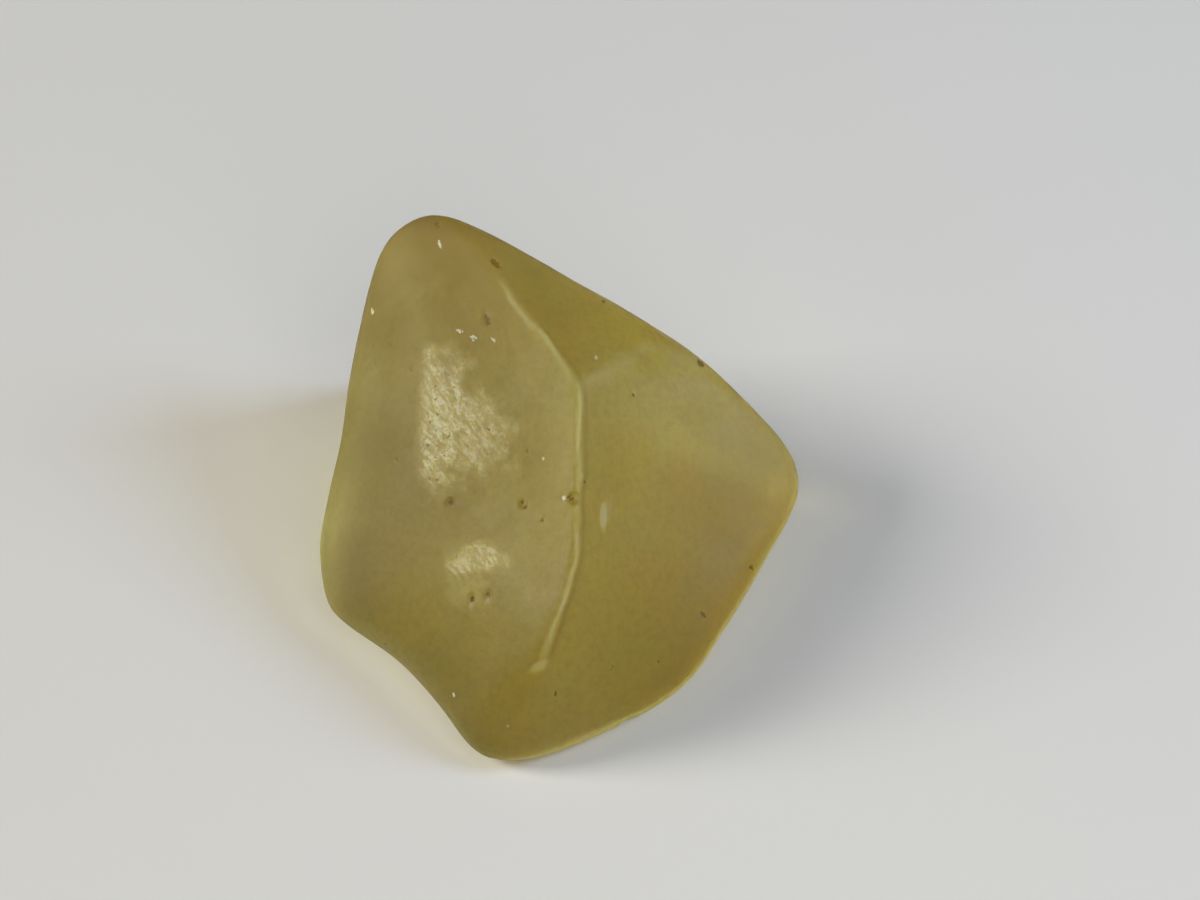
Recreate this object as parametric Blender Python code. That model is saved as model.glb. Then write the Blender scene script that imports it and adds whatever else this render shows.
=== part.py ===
"""Libyan desert glass: one worn, faceted piece of natural glass resting on its flat underside.

The stone is a sphere of points pushed in or out along straight lines from a core point until each
one lies on the stone's surface. That surface is what is left of a block after a set of flat faces
and shallow scooped scars have been cut from it, every edge worn round by its own amount. Small
pits and chips are then dented into it. X runs to the right, Y to the back and Z up; the origin is
the middle of the stone's box, on the surface that it rests on.
"""

from math import cos, hypot, radians, sin
from typing import NamedTuple

import bpy
import numpy as np
from mathutils import Vector, noise

NAME = "desert_glass"
COLLECTION = "libyan_desert_glass"

# Driving sizes, in millimetres unless the name says otherwise.
MILLIMETRE = 0.001
CORE = np.array([0.0, 0.0, 7.0])     # the point that every face's reach is measured from
UNDERSIDE_WEAR = 1.6                 # how far the edge of the resting face is worn round
SEARCH_REACH = 30.0                  # farther from the core than any point of the stone
SEARCH_STEPS = 40
SPHERE_DETAIL = 8                    # subdivisions of the starting sphere
KEPT_SHARE = 0.025                   # share of the sphere's triangles that the finished stone keeps

# Slow undulation of every worn face except the resting one.
SWELL_HEIGHT = 0.12
SWELL_LENGTH = 4.5
SWELL_START_HEIGHT = 1.2             # full undulation from this height above the resting face up

GLASS_COLOUR = (0.30, 0.235, 0.075, 1.0)
GLASS_ROUGHNESS = 0.42
GLASS_IOR = 1.46
GLASS_TRANSMISSION = 0.8


class Face(NamedTuple):
    """A flat face: where its outward normal points, how far it lies from the core, its wear."""

    azimuth: float      # degrees, anticlockwise from +X
    elevation: float    # degrees above the horizon
    reach: float        # distance from the core
    wear: float         # width over which its edges are worn round


class Scar(NamedTuple):
    """A hollow broken out of the stone, the shape of a ball pressed into it."""

    azimuth: float
    elevation: float
    reach: float        # distance from the core to the hollow's deepest point
    radius: float       # radius of the ball
    wear: float


class Pit(NamedTuple):
    """A small round dent, placed by its direction from the core."""

    azimuth: float
    elevation: float
    width: float
    depth: float


SIDES = (
    Face(azimuth=168, elevation=2, reach=13.4, wear=2.0),      # left wall
    Face(azimuth=192, elevation=-40, reach=14.0, wear=2.0),    # undercut below the left lobe
    Face(azimuth=222, elevation=-46, reach=13.9, wear=2.0),    # undercut at the front left
    Face(azimuth=302, elevation=-38, reach=14.3, wear=2.0),    # undercut at the front right
    Face(azimuth=338, elevation=-34, reach=11.8, wear=2.2),    # undercut at the right
    Face(azimuth=16, elevation=-10, reach=15.0, wear=2.2),     # blunt right-hand point
    Face(azimuth=48, elevation=8, reach=12.0, wear=2.0),       # right half of the back
    Face(azimuth=70, elevation=-2, reach=10.35, wear=2.0),    # left half of the back
    Face(azimuth=132, elevation=0, reach=17.6, wear=2.0),      # back left corner
    Face(azimuth=86, elevation=38, reach=15.9, wear=2.0),      # bevel of the high tip
)
LEFT_STRIP = Face(azimuth=207, elevation=44, reach=6.6, wear=1.5)
LOBE_BAND = Face(azimuth=240, elevation=34, reach=6.2, wear=1.5)        # above the left lobe
LEFT_BAND = Face(azimuth=221, elevation=32, reach=7.3, wear=1.5)        # lower left, below the crown
BAND_HOLLOW = 1.5                    # width over which the two bands ease into each other
RIGHT_BANK = Face(azimuth=339, elevation=33.5, reach=4.55, wear=1.5)    # steep, along the ridge
LOWER_BANK = Face(azimuth=323.5, elevation=24.5, reach=5.7, wear=0.6)   # its front end, turned left
RIGHT_APRON = Face(azimuth=316, elevation=50, reach=3.1, wear=1.5)      # gentler, to the right edge
RIGHT_HOLLOW = 3.0                   # width over which the bank eases into the apron
FRONT = Face(azimuth=290, elevation=12, reach=10.6, wear=3.0)
BACK_STRIP = Face(azimuth=18, elevation=63, reach=7.35, wear=1.2)
CROWN = Face(azimuth=226, elevation=56, reach=4.9, wear=0.25)           # this wear is along the ridge
CROWN_STRIP_WEAR = 0.6               # wear of the crown's edge with the left strip
CROWN_BAND_WEAR = 2.0                # wear of its edge with the bands below
WEAR_CHANGE = 3.0                    # width over which one wear turns into another

# The crest of the ridge, right of the crown, is worn to a narrow flat of its own.
CREST_DEPTH = 0.11                   # how far the flat lies below the sharp ridge
CREST_LEAN = 0.45                    # 0 lays the flat level with the crown, 1 halfway to the right side
CREST_WEAR = 0.12

SCARS = (
    Scar(azimuth=223, elevation=-22, reach=12.9, radius=12.0, wear=1.5),    # waist below the lobe
    Scar(azimuth=60, elevation=-8, reach=10.7, radius=16.0, wear=1.2),      # back
    Scar(azimuth=160, elevation=-14, reach=13.4, radius=14.0, wear=1.2),    # left wall
    Scar(azimuth=98, elevation=0, reach=12.0, radius=16.0, wear=1.0),       # back, below the tip
    Scar(azimuth=318, elevation=42.5, reach=4.9, radius=4.5, wear=0.08),    # flake beside the ridge
    Scar(azimuth=281, elevation=51, reach=5.6, radius=0.35, wear=0.1),      # nick across the ridge
)

PITS = (
    Pit(azimuth=110.5, elevation=39.5, width=0.7, depth=0.16),     # back strip, close to the ridge
    Pit(azimuth=41.5, elevation=16.0, width=0.7, depth=0.16),      # upper right edge
    Pit(azimuth=121.5, elevation=43.0, width=0.6, depth=0.10),     # crown, high up
    Pit(azimuth=199.0, elevation=18.0, width=0.6, depth=0.10),     # crown, left
    Pit(azimuth=238.5, elevation=42.5, width=0.6, depth=0.10),     # crown, middle
    Pit(azimuth=241.0, elevation=2.5, width=0.6, depth=0.10),      # crown, low
    Pit(azimuth=235.5, elevation=-1.5, width=0.6, depth=0.10),     # crown, low left
    Pit(azimuth=348.0, elevation=-19.0, width=0.6, depth=0.10),    # right edge
    Pit(azimuth=288.5, elevation=-29.0, width=1.0, depth=0.2),     # front foot
    Pit(azimuth=60.0, elevation=-5.0, width=1.0, depth=0.22),      # back
    Pit(azimuth=82.0, elevation=14.0, width=0.8, depth=0.18),      # back, upper
    Pit(azimuth=150.0, elevation=-12.0, width=0.9, depth=0.2),     # left wall, back
    Pit(azimuth=178.0, elevation=-6.0, width=0.7, depth=0.16),     # left wall
)


def heading(azimuth, elevation):
    """Unit vector that points the way two angles in degrees say."""
    turn = radians(azimuth)
    rise = radians(elevation)
    return np.array([cos(rise) * cos(turn), cos(rise) * sin(turn), sin(rise)])


def cut_worn(first, second, wear):
    """Greater of two fields, with the edge where they meet worn round over a width."""
    overlap = np.maximum(wear - np.abs(first - second), 0.0) / wear
    return np.maximum(first, second) + overlap * overlap * wear / 4.0


def join_smooth(first, second, width):
    """Lesser of two fields, with the hollow corner where they meet filled over a width."""
    return -cut_worn(-first, -second, width)


def share_of(first, second):
    """1 where the first field is greater, 0 where the second is, changing over a width."""
    return np.clip((first - second) / WEAR_CHANGE + 0.5, 0.0, 1.0)


def outside_face(offsets, face):
    """How far each point lies outside a flat face; negative is inside."""
    return offsets @ heading(face.azimuth, face.elevation) - face.reach


def outside_scar(offsets, scar):
    """How deep each point lies in the ball that broke a hollow out; negative is in the glass."""
    centre = heading(scar.azimuth, scar.elevation) * (scar.reach + scar.radius)
    return scar.radius - np.linalg.norm(offsets - centre, axis=1)


def crown_wear(strip, bands, right_side):
    """Wear of the crown's edges: little along the ridge, most where it runs down into the bands."""
    left_wear = CROWN_STRIP_WEAR + (CROWN_BAND_WEAR - CROWN_STRIP_WEAR) * share_of(bands, strip)
    left_share = share_of(np.maximum(bands, strip), right_side)
    return CROWN.wear + (left_wear - CROWN.wear) * left_share


def outside_stone(offsets):
    """How far each point, measured from the core, lies outside the whole stone."""
    field = outside_face(offsets, SIDES[0])
    for face in (*SIDES[1:], LEFT_STRIP):
        field = cut_worn(field, outside_face(offsets, face), face.wear)
    bands = join_smooth(outside_face(offsets, LOBE_BAND), outside_face(offsets, LEFT_BAND), BAND_HOLLOW)
    field = cut_worn(field, bands, LEFT_BAND.wear)
    bank = outside_face(offsets, RIGHT_BANK)
    bank = cut_worn(bank, outside_face(offsets, LOWER_BANK), LOWER_BANK.wear)
    apron = outside_face(offsets, RIGHT_APRON)
    right_side = join_smooth(bank, apron, RIGHT_HOLLOW)
    right_side = cut_worn(right_side, outside_face(offsets, BACK_STRIP), BACK_STRIP.wear)
    field = cut_worn(field, right_side, RIGHT_BANK.wear)
    field = cut_worn(field, outside_face(offsets, FRONT), FRONT.wear)
    crown = outside_face(offsets, CROWN)
    strip = outside_face(offsets, LEFT_STRIP)
    field = cut_worn(field, crown, crown_wear(strip, bands, right_side))
    crest = (CREST_LEAN * right_side + crown) / hypot(CREST_LEAN, 1.0) + CREST_DEPTH
    field = cut_worn(field, crest, CREST_WEAR)
    for scar in SCARS:
        field = cut_worn(field, outside_scar(offsets, scar), scar.wear)
    below = -offsets[:, 2] - CORE[2]
    return cut_worn(field, below, UNDERSIDE_WEAR)


def surface_reach(directions):
    """Distance from the core to the stone's surface along each direction, by halving."""
    near = np.zeros(len(directions))
    far = np.full(len(directions), SEARCH_REACH)
    for _ in range(SEARCH_STEPS):
        middle = (near + far) / 2.0
        outside = outside_stone(directions * middle[:, None]) > 0.0
        far = np.where(outside, middle, far)
        near = np.where(outside, near, middle)
    return near


def swell(points):
    """Slow undulation of the worn faces, fading out towards the flat resting face."""
    waves = np.array([noise.noise(Vector(point / SWELL_LENGTH)) for point in points])
    fade = np.clip(points[:, 2] / SWELL_START_HEIGHT, 0.0, 1.0)
    return SWELL_HEIGHT * waves * fade


def pit_depth(directions, reach):
    """How deep the pits dent the surface along each direction."""
    depth = np.zeros(len(directions))
    for pit in PITS:
        cosine = np.clip(directions @ heading(pit.azimuth, pit.elevation), -1.0, 1.0)
        distance = np.arccos(cosine) * reach
        fill = np.clip(1.0 - (2.0 * distance / pit.width) ** 2, 0.0, 1.0)
        depth = np.maximum(depth, pit.depth * fill)
    return depth


def stone_points(directions):
    """Points of the finished surface in metres, with the origin under the middle of their box."""
    reach = surface_reach(directions)
    points = CORE + directions * reach[:, None]
    reach = reach + swell(points) - pit_depth(directions, reach)
    points = CORE + directions * reach[:, None]
    lowest = points.min(axis=0)
    highest = points.max(axis=0)
    foot = np.array([(lowest[0] + highest[0]) / 2.0, (lowest[1] + highest[1]) / 2.0, lowest[2]])
    return (points - foot) * MILLIMETRE


def glass_material():
    """Frosted, see-through, olive yellow glass."""
    material = bpy.data.materials.new("frosted_desert_glass")
    material.use_nodes = True
    shader = material.node_tree.nodes["Principled BSDF"]
    shader.inputs["Base Color"].default_value = GLASS_COLOUR
    shader.inputs["Roughness"].default_value = GLASS_ROUGHNESS
    shader.inputs["Metallic"].default_value = 0.0
    shader.inputs["IOR"].default_value = GLASS_IOR
    shader.inputs["Transmission Weight"].default_value = GLASS_TRANSMISSION
    material.diffuse_color = GLASS_COLOUR
    return material


def make_stone(collection):
    """Add the stone: a sphere moved onto the surface, thinned out where the faces are flat."""
    bpy.ops.mesh.primitive_ico_sphere_add(subdivisions=SPHERE_DETAIL, radius=1.0)
    stone = bpy.context.object
    stone.name = NAME
    stone.data.name = NAME
    for owner in list(stone.users_collection):
        owner.objects.unlink(stone)
    collection.objects.link(stone)

    corners = np.empty(len(stone.data.vertices) * 3)
    stone.data.vertices.foreach_get("co", corners)
    directions = corners.reshape(-1, 3)
    directions /= np.linalg.norm(directions, axis=1)[:, None]
    stone.data.vertices.foreach_set("co", stone_points(directions).ravel())
    stone.data.update()

    thin = stone.modifiers.new("thin out flat stretches", "DECIMATE")
    thin.ratio = KEPT_SHARE
    thin.use_collapse_triangulate = True
    stone.data.materials.append(glass_material())
    stone.data.shade_smooth()
    return stone


def main():
    """Clear the scene and build the stone in a collection of its own."""
    for leftover in list(bpy.data.objects):
        bpy.data.objects.remove(leftover, do_unlink=True)
    collection = bpy.data.collections.new(COLLECTION)
    bpy.context.scene.collection.children.link(collection)
    make_stone(collection)


main()
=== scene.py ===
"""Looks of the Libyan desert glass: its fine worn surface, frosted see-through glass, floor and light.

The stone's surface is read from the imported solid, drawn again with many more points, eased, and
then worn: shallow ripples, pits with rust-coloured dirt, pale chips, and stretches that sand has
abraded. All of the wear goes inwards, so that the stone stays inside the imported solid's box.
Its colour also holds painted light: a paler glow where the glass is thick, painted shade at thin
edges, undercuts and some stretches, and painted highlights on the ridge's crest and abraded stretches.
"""

from math import cos, radians, sin
from typing import NamedTuple

import bpy
import numpy as np
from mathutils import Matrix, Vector, noise
from mathutils.bvhtree import BVHTree


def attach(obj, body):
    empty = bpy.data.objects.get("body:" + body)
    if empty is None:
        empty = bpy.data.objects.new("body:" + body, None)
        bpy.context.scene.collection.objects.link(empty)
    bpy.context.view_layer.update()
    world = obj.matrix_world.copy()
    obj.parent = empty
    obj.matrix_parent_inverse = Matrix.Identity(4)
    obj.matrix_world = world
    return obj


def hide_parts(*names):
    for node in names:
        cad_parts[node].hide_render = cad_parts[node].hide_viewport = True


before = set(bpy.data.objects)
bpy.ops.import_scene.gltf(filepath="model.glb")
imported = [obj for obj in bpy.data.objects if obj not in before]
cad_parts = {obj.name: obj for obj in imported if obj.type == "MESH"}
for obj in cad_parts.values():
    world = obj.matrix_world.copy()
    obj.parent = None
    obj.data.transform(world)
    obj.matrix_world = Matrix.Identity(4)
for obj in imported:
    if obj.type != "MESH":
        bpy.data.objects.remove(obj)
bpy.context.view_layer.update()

MILLIMETRE = 0.001
PIECE = "worn_desert_glass"
NODE = "desert_glass"

# Camera, in millimetres and degrees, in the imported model's own frame.
CAMERA_AIM = Vector((2.25, 2.95, 7.0))
CAMERA_AZIMUTH = -90.0
CAMERA_ELEVATION = 52.0
CAMERA_DISTANCE = 170.0
CAMERA_LENS = 91.8
SENSOR_WIDTH = 36.0
NEAREST_SEEN = 0.005                 # in metres
FARTHEST_SEEN = 20.0

# The stone's surface, in millimetres.
CORE = Vector((0.10, -0.18, 7.0))    # every point of the surface is seen straight from here
SPHERE_DETAIL = 8
KEPT_TRIANGLES = 190000
UNMARKED = 0.02                      # where marks are weaker than this, triangles are thinned out
EASING_ROUNDS = 3
RIPPLES = ((2.4, 0.030), (0.9, 0.006), (0.35, 0.003))      # length and height of each size of ripple
RIPPLE_START_HEIGHT = 0.4            # full ripples from this height above the resting face up
ABRADED_GRAIN = 0.28                 # size and height of the abraded patches' grain
ABRADED_HEIGHT = 0.012
FULL_GLOW_THICKNESS = 15.0                         # glass this thick gets the palest colour, a painted glow of light scattered inside thick glass
EDGE_SHADE_THICKNESS = 5.5                           # glass thinner than this gets painted shade that deepens to the edge
THICKNESS_START = 0.1                # how far inside the surface a line across the glass starts
THICKNESS_ROUNDS = 20

# Waves that make an edge ragged or a line wander: the length and height of each size of wave.
PATCH_WAVES = ((1.1, 0.34), (0.35, 0.16))
STAIN_WAVES = ((2.0, 0.15),)
PIT_WAVES = ((0.20, 0.45),)
CREST_WANDER = ((1.4, 0.16), (0.45, 0.10))
CREST_GAPS = ((0.9, 0.5), (0.25, 0.4))

# The cloudy crust on the undercut faces at the front right; its darker colour is painted shade.
CRUST_FACES = (320.0, -40.0)         # the way they point, in degrees
CRUST_GAIN = 2.7                     # how fast the crust thickens as a face turns that way
CRUST_START = 1.3
CRUST_CLOUD = 0.85                   # how much clearness it takes away
CRUST_PAINTED_SHADE = 0.5                    # how deep the painted shade on it is

# Pits scattered over the sides that have none listed.
SCATTERED_PITS = 90
SCATTER_SEED = 7
SCATTER_MIN_ANGLE = 112.0            # degrees away from the camera's own direction
SCATTER_LEAST_WIDTH = 0.18
SCATTER_MORE_WIDTH = 0.34            # the widest are wider by this, and most by far less
SCATTER_DEPTH = 0.26                 # as a share of the width
SCATTER_LEAST_DIRT = -0.5            # below zero is clean

# Colours of the glass, of its marks, and of the light and shade painted on it. Thick glass is painted paler
# than thin glass: a painted glow of light scattered inside it.
DIM_THIN_GREENISH = (0.65, 0.55, 0.13, 1.0)
DIM_THIN_OCHRE = (0.78, 0.60, 0.14, 1.0)
GLOWING_THICK_GREENISH = (0.84, 0.80, 0.22, 1.0)
GLOWING_THICK_OCHRE = (0.96, 0.78, 0.23, 1.0)
# painted shade, and the glass's own darker mottling
SHADE_AND_MOTTLE_COLOUR = (0.46, 0.33, 0.06, 1.0)
# painted highlight along the ridge's crest, its spur and the flake's rim
CREST_HIGHLIGHT_COLOUR = (0.92, 0.87, 0.50, 1.0)
# painted highlight on the abraded patches
FROST_HIGHLIGHT_COLOUR = (0.92, 0.90, 0.66, 1.0)
# pale chips, and the painted highlight at the lit end of the ridge's nick
CHIP_AND_GLINT_COLOUR = (0.88, 0.86, 0.72, 1.0)
DIRT_COLOUR = (0.26, 0.13, 0.02, 1.0)
FLECK_COLOUR = (0.42, 0.26, 0.06, 1.0)
OCHRE_SHARE = 0.6                    # how far an ochre stain turns the glass from greenish to ochre
CLOUD_SHARE = 0.7                    # how far the clouds in it do
MOTTLE_SHARE = 0.32
FAINTEST_HIGHLIGHT = 0.42                # how much of the painted highlight shows between the abraded patches' grains
FULL_HIGHLIGHT_AT = 0.6
STREAK_TURN = -60.0                  # the way the painted highlight's streaks run on the abraded patches, in degrees in plan view
STREAK_STRETCH = 3.0

# How the glass takes light. Numbers that say how clear or rough it is are shares.
GLASS_IOR = 1.46
CLEAR_SHARE = 0.95                   # the rest of the light is scattered under the frosted skin
CHIP_CLOUD = 0.5                     # how much clearness each kind of mark takes away
FROST_CLOUD = 0.55
CREST_CLOUD = 0.24
SCATTER_RADIUS = (1.0, 0.8, 0.35)
SCATTER_SCALE = 0.003                # in metres
ABSORPTION_DENSITY = 4.0
ABSORPTION_COLOUR = (0.85, 0.68, 0.15, 1.0)
SMOOTHEST = 0.42
ROUGHEST = 0.50
ABRADED_ROUGHNESS = 0.15
# extra roughness where shade and stains are painted
STAIN_AND_SHADE_ROUGHNESS = 0.25
BUMP_STRENGTH = 0.25
BUMP_DISTANCE = 0.00004              # in metres
BUMP_SCALE = 5200.0                  # lumps to a metre
BUMP_DETAIL = 3.0

# Floor.
FLOOR_GAP = 0.05                     # in millimetres; keeps the floor and the resting face apart
FLOOR_SIZE = 6.0                     # in metres
FLOOR_COLOUR = (0.765, 0.75, 0.705, 1.0)
FLOOR_ROUGHNESS = 0.9
FLOOR_GLOSS = 0.2

# Light of the room.
ROOM_COLOUR = (1.0, 0.94, 0.80, 1.0)
ROOM_LOW = 0.05                      # brightness at the horizon
ROOM_HIGH = 0.11                     # and overhead


class Lamp(NamedTuple):
    """A square soft lamp that faces the stone, placed in degrees and millimetres."""

    name: str
    azimuth: float
    elevation: float
    distance: float
    power: float
    colour: tuple
    spread: float        # its width as a share of its distance


LAMPS = (
    Lamp("warm_left", 175.0, 32.0, 1000.0, 7.15, (1.0, 0.975, 0.915), 0.34),
    Lamp("cool_right", 3.0, 37.0, 500.0, 1.15, (0.54, 0.68, 1.0), 0.34),
    Lamp("front_fill", -72.0, 45.0, 220.0, 0.17, (1.0, 0.95, 0.82), 0.9),
)


class Pattern(NamedTuple):
    """A noise in the material: its lumps to a metre, its layers, and the stretch of it that is kept."""

    scale: float
    detail: float
    roughness: float
    low: float
    high: float


CLOUDS = Pattern(320.0, 5.0, 0.60, 0.38, 0.70)
MOTTLE = Pattern(2400.0, 4.0, 0.65, 0.42, 0.66)
STREAKS = Pattern(3600.0, 4.0, 0.60, 0.40, 0.60)
GRAINS = Pattern(6500.0, 5.0, 0.75, 0.38, 0.60)
FLECKS = Pattern(3600.0, 2.0, 0.55, 0.66, 0.72)
GLOSS = Pattern(900.0, 4.0, 0.55, 0.30, 0.70)
RAGGED_EDGE = Pattern(9000.0, 2.0, 0.55, 0.30, 0.70)
RAGGED_BY = 0.35                     # how far a mark's edge wanders
EDGE_STARTS = 0.35                   # a mark shows where it is stronger than this
EDGE_ENDS = 0.55


class Face(NamedTuple):
    """One of the solid's flat faces: where its normal points, and its distance from the core."""

    azimuth: float
    elevation: float
    reach: float


CROWN = Face(226.0, 56.0, 4.9)
LEFT_STRIP = Face(207.0, 44.0, 6.6)
RIGHT_BANK = Face(339.0, 33.5, 4.55)
LOWER_BANK = Face(323.5, 24.5, 5.7)
RIGHT_APRON = Face(316.0, 50.0, 3.1)
BACK_STRIP = Face(18.0, 63.0, 7.35)


class Patch(NamedTuple):
    """An oval stretch of the surface in plan view, in millimetres and degrees."""

    x: float
    y: float
    length: float
    width: float
    turn: float
    strength: float


# Stretches that sand has abraded; the pale frost painted on them is a painted highlight, the lamp's
# reflection on the crown and a sheen on the right-hand point.
PATCHES = (
    Patch(-6.95, 2.3, 8.4, 5.0, -72.0, 0.9),      # upper crown, against its left edge
    Patch(-4.9, 1.2, 6.8, 3.6, -54.0, 0.75),
    Patch(-4.5, -5.3, 4.2, 1.5, -24.0, 0.8),      # lower crown
    Patch(-4.9, -6.2, 3.0, 2.0, -24.0, 0.27),
    Patch(11.2, 2.2, 7.5, 7.0, 0.0, 0.22),        # right-hand point
)
# Painted highlights: the flake's lit rim beside the ridge and the ridge's lower end.
HIGHLIGHT_STROKES = (
    Patch(2.46, -3.85, 1.60, 0.46, 87.0, 0.9),    # rim of the flake beside the ridge
    Patch(2.20, -2.35, 1.20, 0.24, -32.0, 0.3),
    Patch(-0.95, -11.05, 1.3, 0.42, 10.0, 0.65),  # lower end of the ridge
)
DASHES = (
    Patch(-5.45, 6.20, 0.66, 0.16, -27.0, 0.9),   # three in a row across the crown
    Patch(-4.62, 5.65, 0.56, 0.16, -35.0, 0.85),
    Patch(-3.52, 5.24, 0.50, 0.15, -35.0, 0.75),
)
PATCH_RIM = 1.1                      # a patch or stain fades out this many half-widths from its middle
PATCH_FADE = 0.45
FACING_UP = 0.2                      # patches show only where the normal's upward part is more than this
CROWN_RIM = 0.10                     # the abraded patches end this far past the crown's left edge
CROWN_RIM_FADE = 0.25

# The painted highlight along the ridge's worn crest, in millimetres and shares.
CREST_END = 8.6                      # how far back from the core the painted highlight on the ridge's crest reaches
CREST_END_FADE = 1.5
CREST_SHARE = 0.80                   # how strongly it shows between its gaps
CREST_SHIFT = 0.18                   # how far to the crown's side of the ridge it runs
CREST_WIDTH = 0.18
SPUR_STRENGTH = 0.6                  # painted highlight along the shorter ridge that leaves it to the right
SPUR_WIDTH = 0.26
SPUR_START = 0.6                     # it is full this far below the crown's plane
SHADE_STRENGTH = 0.55                # dark line along the far side of the ridge
SHADE_SHIFT = 0.22
SHADE_WIDTH = 0.25
NICK = (280.0, 51.0)                 # direction of the gap in the crest
NICK_WIDTH = 1.3
NICK_SHARPNESS = 2.0
EDGE_REACH = 0.6                     # a line beside an edge ends this far below both faces' planes
EDGE_REACH_FADE = 0.3


class Stain(NamedTuple):
    """A stretch of deeper colour that fades outwards, placed by its direction from the core."""

    azimuth: float
    elevation: float
    width: float
    strength: float


# Painted shade that dims the tip, the right-hand point, the left strip and lobe, and the back strip beside
# the ridge; at the tip it is partly the glass's own deeper brown.
SHADES_AND_STAINS = (
    Stain(121.0, 31.0, 14.0, 1.0),     # tip
    Stain(8.0, -10.0, 7.0, 0.55),      # right-hand point
    Stain(168.0, 6.0, 18.0, 0.60),     # left strip
    Stain(137.0, 19.0, 11.0, 0.85),    # its top
    Stain(190.0, -12.0, 9.0, 0.55),    # left lobe
    Stain(95.0, 41.0, 8.0, 0.30),      # back strip, beside the ridge
)
OCHRES = (
    Stain(121.0, 31.0, 10.0, 1.0),     # tip
    Stain(80.0, 41.0, 13.0, 1.0),      # back strip
    Stain(136.0, 20.0, 9.0, 0.8),      # top of the left strip
    Stain(192.0, -10.0, 9.0, 0.7),     # left lobe
    Stain(340.0, -5.0, 14.0, 0.6),     # right side
    Stain(258.0, -12.0, 12.0, 0.4),    # front
)


class Speck(NamedTuple):
    """A small pale spot, placed by its direction from the core: a chip, but at the ridge's nick a painted
    highlight.
    """

    azimuth: float
    elevation: float
    width: float


SPECKS = (
    Speck(137.5, 16.0, 0.24),      # left edge of the tip
    Speck(66.0, 54.0, 0.26),       # back strip
    Speck(233.5, 72.5, 0.20),      # crown, middle
    Speck(241.0, -19.0, 0.22),     # front foot
    Speck(257.5, -17.0, 0.18),
    Speck(121.0, 32.0, 0.14),      # tip
    # painted highlight: the lit left end of the ridge's nick
    Speck(273.0, 51.0, 0.26),      # left end of the ridge's nick
)


SPECK_DEPTH = 0.02
SPECK_GAIN = 2.0                     # how fast a chip turns pale from its rim inwards


class Pit(NamedTuple):
    """A small dent in the surface, in millimetres, placed by its direction from the core."""

    azimuth: float
    elevation: float
    width: float
    depth: float
    dirt: float          # how much rust-coloured dirt it holds, 0 to 1


PITS = (
    Pit(110.5, 39.5, 0.62, 0.06, 1.0),     # back strip, close to the ridge
    Pit(42.0, 15.5, 0.62, 0.06, 1.0),      # upper right edge
    Pit(121.5, 43.0, 0.36, 0.03, 1.0),     # crown, high up
    Pit(119.0, 31.0, 0.35, 0.08, 0.6),     # tip
    Pit(199.0, 18.0, 0.34, 0.04, 1.0),     # crown, left
    Pit(237.0, 43.0, 0.26, 0.04, 1.0),     # crown, middle
    Pit(241.0, 41.5, 0.26, 0.04, 1.0),
    Pit(258.0, 38.0, 0.25, 0.06, 0.6),
    Pit(241.0, 2.5, 0.32, 0.04, 1.0),      # crown, low
    Pit(235.5, -1.5, 0.32, 0.04, 0.9),
    Pit(201.5, 69.0, 0.22, 0.05, 0.4),
    Pit(297.0, 57.0, 0.30, 0.05, 0.6),     # beside the ridge
    Pit(279.0, 50.8, 0.46, 0.03, 0.55),    # in the ridge's nick
    Pit(173.0, 10.5, 0.25, 0.05, 0.6),
    Pit(348.0, -19.0, 0.30, 0.04, 1.0),    # right edge
    Pit(325.0, -20.5, 0.30, 0.07, 1.0),
    Pit(302.5, -21.0, 0.35, 0.05, 0.5),
    Pit(269.0, -11.5, 0.35, 0.06, 0.7),
    Pit(288.5, -29.5, 0.50, 0.06, 0.8),    # front foot
    Pit(75.5, 30.5, 0.35, 0.07, 0.7),      # back strip
    Pit(38.0, 44.0, 0.25, 0.06, 0.9),
    Pit(15.5, -10.0, 0.25, 0.05, 0.5),
    Pit(214.5, -22.5, 0.25, 0.05, 0.5),
    Pit(147.0, 14.0, 0.22, 0.05, 0.6),
    Pit(143.5, 14.5, 0.22, 0.05, 0.6),
    Pit(142.5, 19.0, 0.25, 0.05, 0.5),
    Pit(147.0, 23.5, 0.22, 0.04, 0.5),
    Pit(357.5, -5.5, 0.22, 0.04, 0.5),
    Pit(286.5, -15.0, 0.25, 0.04, 0.5),
)
DIRT_GAIN = 2.5                      # how fast dirt thickens from a pit's rim inwards
DIRT_START = 0.8


def heading(azimuth, elevation):
    """Unit vector that points the way two angles in degrees say."""
    turn = radians(azimuth)
    rise = radians(elevation)
    return Vector((cos(rise) * cos(turn), cos(rise) * sin(turn), sin(rise)))


def scattered_pits():
    """Small pits all over the sides that the camera doesn't face, the same on every run."""
    chance = np.random.default_rng(SCATTER_SEED)
    facing = np.array(heading(CAMERA_AZIMUTH, CAMERA_ELEVATION))
    pits = []
    while len(pits) < SCATTERED_PITS:
        azimuth = chance.uniform(0.0, 360.0)
        elevation = np.degrees(np.arcsin(chance.uniform(-1.0, 1.0)))
        width = SCATTER_LEAST_WIDTH + SCATTER_MORE_WIDTH * chance.random() ** 3
        dirt = max(0.0, chance.uniform(SCATTER_LEAST_DIRT, 1.0))
        if np.array(heading(azimuth, elevation)) @ facing < cos(radians(SCATTER_MIN_ANGLE)):
            pits.append(Pit(azimuth, elevation, width, SCATTER_DEPTH * width, dirt))
    return pits


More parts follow.
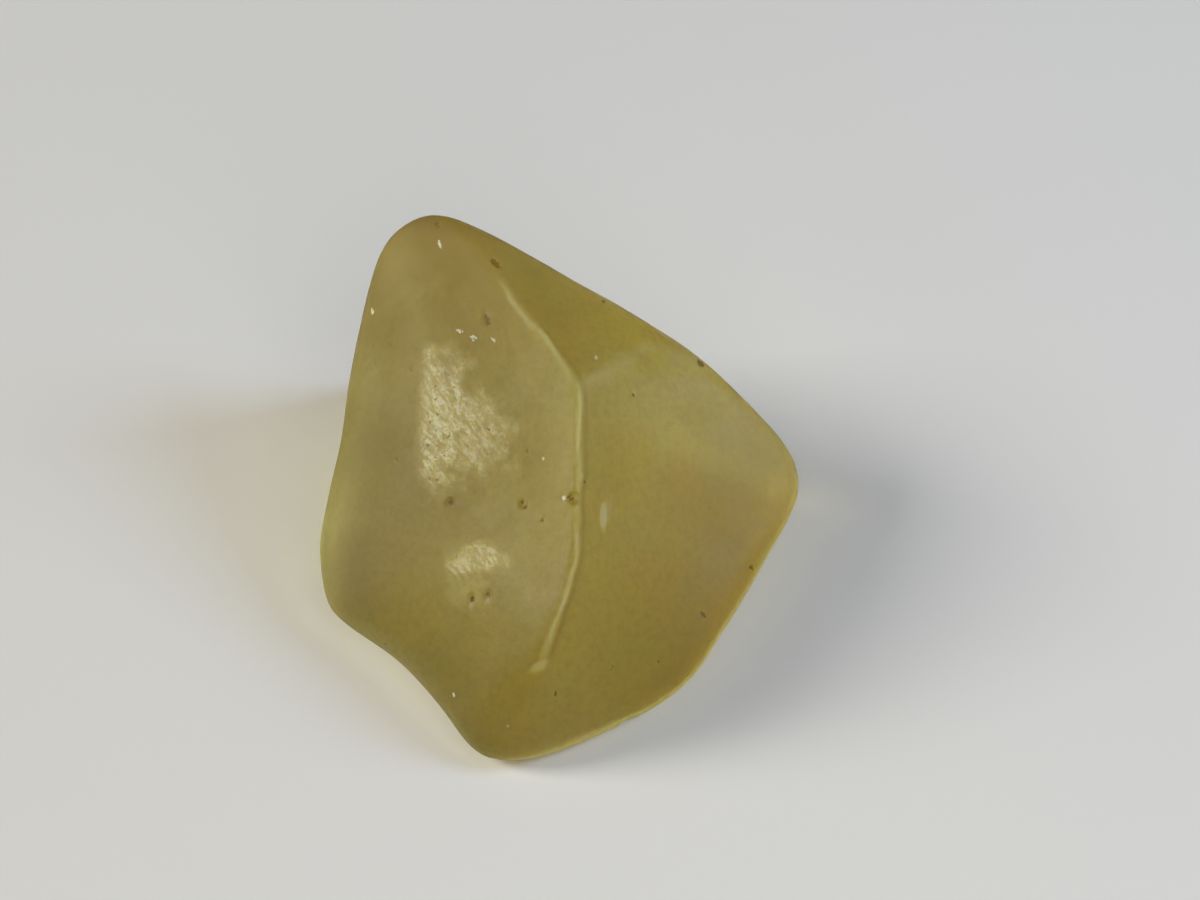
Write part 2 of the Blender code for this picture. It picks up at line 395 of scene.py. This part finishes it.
def sphere_object():
    """An evenly divided sphere, and the direction of each of its points."""
    bpy.ops.mesh.primitive_ico_sphere_add(subdivisions=SPHERE_DETAIL, radius=1.0)
    ball = bpy.context.object
    flat = np.empty(len(ball.data.vertices) * 3)
    ball.data.vertices.foreach_get("co", flat)
    directions = flat.reshape(-1, 3)
    return ball, directions / np.linalg.norm(directions, axis=1)[:, None]


def solid_tree():
    """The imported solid's surface, in millimetres, ready for casting lines onto."""
    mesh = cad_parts[NODE].data
    corners = [vertex.co / MILLIMETRE for vertex in mesh.vertices]
    return BVHTree.FromPolygons(corners, [tuple(face.vertices) for face in mesh.polygons])


def eased(mesh, rows, rounds):
    """One row of numbers for each point, moved halfway to the mean of its neighbours again and again."""
    flat = np.empty(len(mesh.edges) * 2, dtype=np.int64)
    mesh.edges.foreach_get("vertices", flat)
    ends = np.concatenate([flat[0::2], flat[1::2]])
    others = np.concatenate([flat[1::2], flat[0::2]])
    counts = np.bincount(ends, minlength=len(rows))
    for _ in range(rounds):
        sums = [np.bincount(ends, weights=column[others]) for column in rows.T]
        rows = (rows + np.stack(sums, axis=1) / counts[:, None]) / 2.0
    return rows


def noise_at(points, size, seed):
    """Smooth noise from -1 to 1 with lumps of a given size in millimetres."""
    shift = Vector((seed * 17.3, seed * 5.9, seed * 11.1))
    return np.array([noise.noise(Vector(point / size) + shift) for point in points])


def waves_at(points, sizes, seed):
    """Several sizes of smooth noise added up, each with its length and height."""
    total = np.zeros(len(points))
    for number, (length, height) in enumerate(sizes):
        total += height * noise_at(points, length, seed + number)
    return total


def normals_of(mesh, points):
    """Outward unit normals of a mesh whose points are moved to the given places."""
    mesh.vertices.foreach_set("co", points.ravel())
    mesh.update()
    flat = np.empty(len(points) * 3)
    mesh.vertex_normals.foreach_get("vector", flat)
    return flat.reshape(-1, 3)


def outside_face(offsets, face):
    """How far each point lies outside a flat face; negative is inside."""
    return offsets @ np.array(heading(face.azimuth, face.elevation)) - face.reach


def along_edge(first, second, shift, width):
    """1 in a line beside the edge where two faces meet, fading out over a width."""
    there = np.clip((np.maximum(first, second) + EDGE_REACH) / EDGE_REACH_FADE, 0.0, 1.0)
    return there * np.exp(-((first - second - shift) / width) ** 2)


def in_patch(points, patch, ragged):
    """How deep inside an oval patch each point lies: 1 well inside, 0 outside it."""
    turn = radians(patch.turn)
    x = points[:, 0] - patch.x
    y = points[:, 1] - patch.y
    along = (x * cos(turn) + y * sin(turn)) / (patch.length / 2.0)
    across = (y * cos(turn) - x * sin(turn)) / (patch.width / 2.0)
    return np.clip((PATCH_RIM + ragged - np.hypot(along, across)) / PATCH_FADE, 0.0, 1.0)


def patches_share(points, normals, patches, ragged):
    """How strongly a set of patches on the upper faces shows at each point, 0 to 1."""
    share = np.zeros(len(points))
    for patch in patches:
        share = np.maximum(share, patch.strength * in_patch(points, patch, ragged))
    return share * (normals[:, 2] > FACING_UP)


def near_heading(offsets, place, width):
    """1 in one direction from the core, fading to 0 at half a width in millimetres away."""
    reach = np.linalg.norm(offsets, axis=1)
    away = np.arccos(np.clip(offsets @ np.array(heading(*place)) / reach, -1.0, 1.0)) * reach
    return np.clip(1.0 - 2.0 * away / width, 0.0, 1.0)


def right_side(offsets):
    """How far each point lies outside the faces right of the ridge; negative is inside."""
    bank = np.maximum(outside_face(offsets, RIGHT_BANK), outside_face(offsets, LOWER_BANK))
    return np.minimum(bank, outside_face(offsets, RIGHT_APRON))


def crest_highlights(points, offsets, normals):
    """How strongly the painted highlights along the ridge's worn crest, its spur and the flake's rim show at
    each point, 0 to 1.
    """
    crown = outside_face(offsets, CROWN)
    right = right_side(offsets)
    back = outside_face(offsets, BACK_STRIP)
    wander = waves_at(points, CREST_WANDER, 9)
    patchy = np.clip(CREST_SHARE + waves_at(points, CREST_GAPS, 11), 0.0, 1.0)
    ridge = along_edge(crown, np.maximum(right, back), CREST_SHIFT + wander, CREST_WIDTH) * patchy
    ridge *= np.clip((CREST_END - offsets[:, 1]) / CREST_END_FADE, 0.0, 1.0)
    ridge *= 1.0 - np.clip(NICK_SHARPNESS * near_heading(offsets, NICK, NICK_WIDTH), 0.0, 1.0)
    spur = along_edge(back, right, wander, SPUR_WIDTH) * np.clip(-crown / SPUR_START, 0.0, 1.0) * patchy
    strokes = patches_share(points, normals, HIGHLIGHT_STROKES, 0.0)
    return np.maximum(ridge, np.maximum(SPUR_STRENGTH * spur, strokes))


def ridge_shade(offsets):
    """How strongly the dark line along the ridge's far side shows at each point, 0 to 1."""
    crown = outside_face(offsets, CROWN)
    far_side = np.maximum(right_side(offsets), outside_face(offsets, BACK_STRIP))
    return SHADE_STRENGTH * along_edge(far_side, crown, SHADE_SHIFT, SHADE_WIDTH)


def abraded_and_highlight_share(points, offsets, normals):
    """How much of the surface around each point sand has abraded, 0 to 1; the same share sets the painted
    highlight on it.
    """
    share = patches_share(points, normals, PATCHES, waves_at(points, PATCH_WAVES, 5))
    on_crown = outside_face(offsets, CROWN) - outside_face(offsets, LEFT_STRIP)
    return share * np.clip((on_crown + CROWN_RIM) / CROWN_RIM_FADE, 0.0, 1.0)


def thickness_at(mesh, tree, points, normals):
    """How far it is straight through the glass from each point, in millimetres."""
    starts = points - normals * THICKNESS_START
    hits = [tree.ray_cast(Vector(a), Vector(-b))[3] for a, b in zip(starts, normals)]
    thickness = np.array([0.0 if hit is None else hit for hit in hits])
    return eased(mesh, thickness[:, None], THICKNESS_ROUNDS)[:, 0]


def stains_share(points, outward, reach, stains_and_shades):
    """How strongly a set of stains and painted shades shows at each point, 0 to 1."""
    share = np.zeros(len(points))
    ragged = waves_at(points, STAIN_WAVES, 7)
    for stain_and_shade in stains_and_shades:
        place = np.array(heading(stain_and_shade.azimuth, stain_and_shade.elevation))
        away = np.arccos(np.clip(outward @ place, -1.0, 1.0)) * reach
        inside = np.clip(PATCH_RIM + ragged - 2.0 * away / stain_and_shade.width, 0.0, 1.0)
        share = np.maximum(share, stain_and_shade.strength * inside)
    return share


def spot_fill(points, outward, reach, spot):
    """Points near a small round spot, and how deep in it each one is, 0 to 1."""
    place = np.array(heading(spot.azimuth, spot.elevation))
    away = np.arccos(np.clip(outward @ place, -1.0, 1.0)) * reach
    near = np.flatnonzero(away < spot.width)
    wobble = 1.0 + waves_at(points[near], PIT_WAVES, 4)
    return near, np.clip(1.0 - (2.0 * away[near] / (spot.width * wobble)) ** 2, 0.0, 1.0)


def add_value(mesh, name, values):
    """Keep one number for each point of a mesh, under a name that its material reads."""
    layer = mesh.attributes.new(name, "FLOAT", "POINT")
    layer.data.foreach_set("value", values.astype(np.float32))


def wear(points, normals, outward, reach, abraded_and_highlight):
    """How far out each point of the surface moves, and how much dirt and pale chip it has."""
    relief = np.zeros(len(points))
    for seed, (length, height) in enumerate(RIPPLES):
        relief += height * (noise_at(points, length, seed + 1) - 1.0)
    relief *= np.clip(points[:, 2] / RIPPLE_START_HEIGHT, 0.0, 1.0)
    relief += ABRADED_HEIGHT * abraded_and_highlight * (noise_at(points, ABRADED_GRAIN, 8) - 1.0)

    dirt = np.zeros(len(points))
    for pit in (*PITS, *scattered_pits()):
        near, fill = spot_fill(points, outward, reach, pit)
        relief[near] -= pit.depth * fill
        dirt[near] = np.maximum(dirt[near], pit.dirt * np.clip(fill * DIRT_GAIN - DIRT_START, 0.0, 1.0))
    pale = patches_share(points, normals, DASHES, 0.0)
    for speck in SPECKS:
        near, fill = spot_fill(points, outward, reach, speck)
        relief[near] -= SPECK_DEPTH * fill
        pale[near] = np.maximum(pale[near], np.clip(fill * SPECK_GAIN, 0.0, 1.0))
    return relief, dirt, pale


def thin_out(stone, marks):
    """Bring the triangles down to the number kept, and leave them dense where a mark shows."""
    plain = stone.vertex_groups.new(name="plain")
    plain.add(np.flatnonzero(marks < UNMARKED).tolist(), 1.0, "REPLACE")
    fewer = stone.modifiers.new("thin out flat stretches", "DECIMATE")
    fewer.vertex_group = plain.name
    fewer.ratio = KEPT_TRIANGLES / len(stone.data.polygons)
    fewer.use_collapse_triangulate = True
    bpy.ops.object.modifier_apply(modifier=fewer.name)


def make_stone():
    """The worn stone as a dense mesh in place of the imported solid."""
    stone, directions = sphere_object()
    mesh = stone.data
    tree = solid_tree()
    points = np.array([tree.ray_cast(CORE, Vector(direction))[0] for direction in directions])
    points = eased(mesh, points, EASING_ROUNDS)
    normals = normals_of(mesh, points)
    offsets = points - np.array(CORE)
    reach = np.linalg.norm(offsets, axis=1)
    outward = offsets / reach[:, None]

    thickness = thickness_at(mesh, tree, points, normals)
    abraded_and_highlight = abraded_and_highlight_share(points, offsets, normals)
    relief, dirt, pale = wear(points, normals, outward, reach, abraded_and_highlight)
    moved = points + normals * relief[:, None]
    moved[:, 2] = np.maximum(moved[:, 2], 0.0)
    mesh.vertices.foreach_set("co", (moved * MILLIMETRE).ravel())
    mesh.update()

    crest_highlight = crest_highlights(points, offsets, normals)
    crust = np.clip(CRUST_GAIN * (normals @ np.array(heading(*CRUST_FACES))) - CRUST_START, 0.0, 1.0)
    # painted shade on thin glass, deepening towards the edge
    thin_edge_shade = np.clip(1.0 - thickness / EDGE_SHADE_THICKNESS, 0.0, 1.0)
    stains_and_shades = stains_share(points, outward, reach, SHADES_AND_STAINS)
    # painted glow: thick glass is painted paler, standing in for light scattered inside it
    add_value(mesh, "thick_glow", np.clip(thickness / FULL_GLOW_THICKNESS, 0.0, 1.0))
    # painted shade: thin edges, the listed stretches, the crust and the ridge's far side; at the tip partly
    # the glass's own deeper colour
    add_value(mesh, "stain_and_shade", np.maximum.reduce([thin_edge_shade, stains_and_shades, CRUST_PAINTED_SHADE * crust, ridge_shade(offsets)]))
    add_value(mesh, "ochre", stains_share(points, outward, reach, OCHRES))
    add_value(mesh, "crust", crust)
    add_value(mesh, "crest_highlight", crest_highlight)
    add_value(mesh, "abraded_and_highlight", abraded_and_highlight)
    add_value(mesh, "dirt", dirt)
    add_value(mesh, "pale", pale)
    thin_out(stone, np.maximum.reduce([crest_highlight, abraded_and_highlight, dirt, pale]))
    stone.name = PIECE
    mesh.name = PIECE
    mesh.shade_smooth()
    return stone


class Nodes:
    """Short ways to add and join the nodes of one material."""

    def __init__(self, tree):
        self.tree = tree

    def add(self, kind, **inputs):
        node = self.tree.nodes.new(kind)
        for name, value in inputs.items():
            node.inputs[name.replace("_", " ")].default_value = value
        return node

    def link(self, out, into):
        self.tree.links.new(out, into)

    def noise(self, coordinates, scale, detail, roughness=0.55):
        node = self.add("ShaderNodeTexNoise", Scale=scale, Detail=detail, Roughness=roughness)
        self.link(coordinates, node.inputs["Vector"])
        return node.outputs["Fac"]

    def pattern(self, coordinates, kind, new_low=0.0, new_high=1.0):
        """A noise with the stretch that is kept spread between two new values."""
        value = self.noise(coordinates, kind.scale, kind.detail, kind.roughness)
        return self.remap(value, kind.low, kind.high, new_low, new_high)

    def remap(self, value, low, high, new_low=0.0, new_high=1.0):
        node = self.add("ShaderNodeMapRange")
        node.inputs["From Min"].default_value = low
        node.inputs["From Max"].default_value = high
        node.inputs["To Min"].default_value = new_low
        node.inputs["To Max"].default_value = new_high
        self.link(value, node.inputs["Value"])
        return node.outputs["Result"]

    def math(self, operation, first, second):
        node = self.tree.nodes.new("ShaderNodeMath")
        node.operation = operation
        for socket, value in zip(node.inputs, (first, second)):
            if isinstance(value, float):
                socket.default_value = value
            else:
                self.link(value, socket)
        return node.outputs["Value"]

    def mix(self, factor, first, second):
        node = self.tree.nodes.new("ShaderNodeMix")
        node.data_type = "RGBA"
        self.link(factor, node.inputs["Factor"])
        for name, value in (("A", first), ("B", second)):
            socket = [s for s in node.inputs if s.name == name and s.type == "RGBA"][0]
            if isinstance(value, tuple):
                socket.default_value = value
            else:
                self.link(value, socket)
        return [s for s in node.outputs if s.type == "RGBA"][0]

    def stretched(self, coordinates, turn, factor):
        """Coordinates along which a pattern is drawn out one way."""
        node = self.tree.nodes.new("ShaderNodeMapping")
        node.vector_type = "TEXTURE"
        node.inputs["Rotation"].default_value = (0.0, 0.0, radians(turn))
        node.inputs["Scale"].default_value = (factor, 1.0, 1.0)
        self.link(coordinates, node.inputs["Vector"])
        return node.outputs["Vector"]

    def crisp(self, value, coordinates):
        """A soft mark with its edge made sharp and ragged."""
        ragged = self.pattern(coordinates, RAGGED_EDGE, -RAGGED_BY, RAGGED_BY)
        return self.remap(self.math("ADD", value, ragged), EDGE_STARTS, EDGE_ENDS)

    def value(self, name):
        node = self.tree.nodes.new("ShaderNodeAttribute")
        node.attribute_name = name
        return node.outputs["Fac"]

    def plus(self, value, extra, share):
        """A value with a share of another added to it; a negative share takes away."""
        return self.math("ADD", value, self.math("MULTIPLY", extra, share))


def glass_colour(build, place, abraded_and_highlight, frost_highlight, dirt, pale):
    """Olive yellow painted paler where the glass is thick, a painted glow, under painted shade, stains,
    mottling, painted highlights and marks.
    """
    cloud = build.plus(build.pattern(place, CLOUDS, 0.0, CLOUD_SHARE), build.value("ochre"), OCHRE_SHARE)
    # thick glass painted paler: a painted glow of light scattered inside it
    dim_thin_colour = build.mix(cloud, DIM_THIN_GREENISH, DIM_THIN_OCHRE)
    glowing_thick_colour = build.mix(cloud, GLOWING_THICK_GREENISH, GLOWING_THICK_OCHRE)
    colour = build.mix(build.value("thick_glow"), dim_thin_colour, glowing_thick_colour)
    # painted shade over the glass, at the tip partly its own deeper colour
    colour = build.mix(build.value("stain_and_shade"), colour, SHADE_AND_MOTTLE_COLOUR)
    colour = build.mix(build.pattern(place, MOTTLE, 0.0, MOTTLE_SHARE), colour, SHADE_AND_MOTTLE_COLOUR)
    # painted highlight along the ridge's crest and the flake's rim
    colour = build.mix(build.value("crest_highlight"), colour, CREST_HIGHLIGHT_COLOUR)
    # painted highlight on the abraded patches: the lamp's reflection and a sheen
    colour = build.mix(frost_highlight, colour, FROST_HIGHLIGHT_COLOUR)
    flecks = build.math("MULTIPLY", abraded_and_highlight, build.pattern(place, FLECKS))
    colour = build.mix(flecks, colour, FLECK_COLOUR)
    colour = build.mix(dirt, colour, DIRT_COLOUR)
    return build.mix(pale, colour, CHIP_AND_GLINT_COLOUR)


def frost_highlight_share(build, place, abraded_and_highlight):
    """How strongly the painted highlight on the abraded patches shows from point to point: fine grains in
    slanting streaks.
    """
    streaks = build.pattern(build.stretched(place, STREAK_TURN, STREAK_STRETCH), STREAKS)
    both = build.math("MULTIPLY", build.pattern(place, GRAINS), streaks)
    return build.math("MULTIPLY", abraded_and_highlight, build.remap(both, 0.0, FULL_HIGHLIGHT_AT, FAINTEST_HIGHLIGHT, 1.0))


def glass_material():
    """Frosted see-through glass, with marks and painted light and shade read from the stone's own points."""
    material = bpy.data.materials.new("frosted_desert_glass")
    material.use_nodes = True
    tree = material.node_tree
    shader = tree.nodes["Principled BSDF"]
    output = tree.nodes["Material Output"]
    build = Nodes(tree)
    place = tree.nodes.new("ShaderNodeTexCoord").outputs["Object"]
    abraded_and_highlight = build.value("abraded_and_highlight")
    frost_highlight = frost_highlight_share(build, place, abraded_and_highlight)
    dirt = build.crisp(build.value("dirt"), place)
    pale = build.crisp(build.value("pale"), place)
    build.link(glass_colour(build, place, abraded_and_highlight, frost_highlight, dirt, pale), shader.inputs["Base Color"])

    rough = build.plus(build.pattern(place, GLOSS, SMOOTHEST, ROUGHEST), abraded_and_highlight, ABRADED_ROUGHNESS)
    rough = build.plus(rough, build.value("stain_and_shade"), STAIN_AND_SHADE_ROUGHNESS)
    build.link(rough, shader.inputs["Roughness"])

    clear = build.plus(CLEAR_SHARE, pale, -CHIP_CLOUD)
    clear = build.plus(clear, frost_highlight, -FROST_CLOUD)
    clear = build.plus(clear, build.value("crest_highlight"), -CREST_CLOUD)
    clear = build.plus(clear, build.value("crust"), -CRUST_CLOUD)
    build.link(clear, shader.inputs["Transmission Weight"])
    shader.inputs["IOR"].default_value = GLASS_IOR
    shader.inputs["Subsurface Weight"].default_value = 1.0
    shader.inputs["Subsurface Radius"].default_value = SCATTER_RADIUS
    shader.inputs["Subsurface Scale"].default_value = SCATTER_SCALE

    bump = build.add("ShaderNodeBump", Strength=BUMP_STRENGTH, Distance=BUMP_DISTANCE)
    build.link(build.noise(place, BUMP_SCALE, BUMP_DETAIL), bump.inputs["Height"])
    build.link(bump.outputs["Normal"], shader.inputs["Normal"])

    absorb = build.add("ShaderNodeVolumeAbsorption", Density=ABSORPTION_DENSITY, Color=ABSORPTION_COLOUR)
    build.link(absorb.outputs["Volume"], output.inputs["Volume"])
    return material


def make_floor():
    """A plain pale floor."""
    bpy.ops.mesh.primitive_plane_add(size=FLOOR_SIZE)
    floor = bpy.context.object
    floor.name = "floor"
    floor.location.z = -FLOOR_GAP * MILLIMETRE
    material = bpy.data.materials.new("pale_paper")
    material.use_nodes = True
    shader = material.node_tree.nodes["Principled BSDF"]
    shader.inputs["Base Color"].default_value = FLOOR_COLOUR
    shader.inputs["Roughness"].default_value = FLOOR_ROUGHNESS
    shader.inputs["Specular IOR Level"].default_value = FLOOR_GLOSS
    floor.data.materials.append(material)


def add_softbox(kind):
    """One of the soft lamps, facing the stone."""
    data = bpy.data.lights.new(kind.name, "AREA")
    data.shape = "SQUARE"
    data.size = kind.spread * kind.distance * MILLIMETRE
    data.energy = kind.power
    data.color = kind.colour
    lamp = bpy.data.objects.new(kind.name, data)
    bpy.context.scene.collection.objects.link(lamp)
    away = heading(kind.azimuth, kind.elevation)
    lamp.location = away * kind.distance * MILLIMETRE
    lamp.rotation_euler = away.to_track_quat("Z", "Y").to_euler()


def make_light():
    """A warm lamp on the left, a weaker cool one on the right, a faint fill, and a room brighter overhead."""
    for lamp in LAMPS:
        add_softbox(lamp)
    world = bpy.data.worlds.new("room")
    bpy.context.scene.world = world
    world.use_nodes = True
    background = world.node_tree.nodes["Background"]
    build = Nodes(world.node_tree)
    direction = world.node_tree.nodes.new("ShaderNodeTexCoord").outputs["Generated"]
    split = build.add("ShaderNodeSeparateXYZ")
    build.link(direction, split.inputs["Vector"])
    strength = build.remap(split.outputs["Z"], 0.0, 1.0, ROOM_LOW, ROOM_HIGH)
    build.link(strength, background.inputs["Strength"])
    background.inputs["Color"].default_value = ROOM_COLOUR


def make_camera():
    """The camera looks down on the stone from the front."""
    data = bpy.data.cameras.new("camera")
    data.sensor_width = SENSOR_WIDTH
    data.lens = CAMERA_LENS
    data.clip_start = NEAREST_SEEN
    data.clip_end = FARTHEST_SEEN
    camera = bpy.data.objects.new("camera", data)
    bpy.context.scene.collection.objects.link(camera)
    away = heading(CAMERA_AZIMUTH, CAMERA_ELEVATION)
    camera.location = (CAMERA_AIM + away * CAMERA_DISTANCE) * MILLIMETRE
    camera.rotation_euler = away.to_track_quat("Z", "Y").to_euler()
    bpy.context.scene.camera = camera


bpy.context.scene.view_settings.view_transform = "Standard"
make_camera()
stone = make_stone()
stone.data.materials.clear()
stone.data.materials.append(glass_material())
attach(stone, "root")
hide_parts(NODE)
make_floor()
make_light()
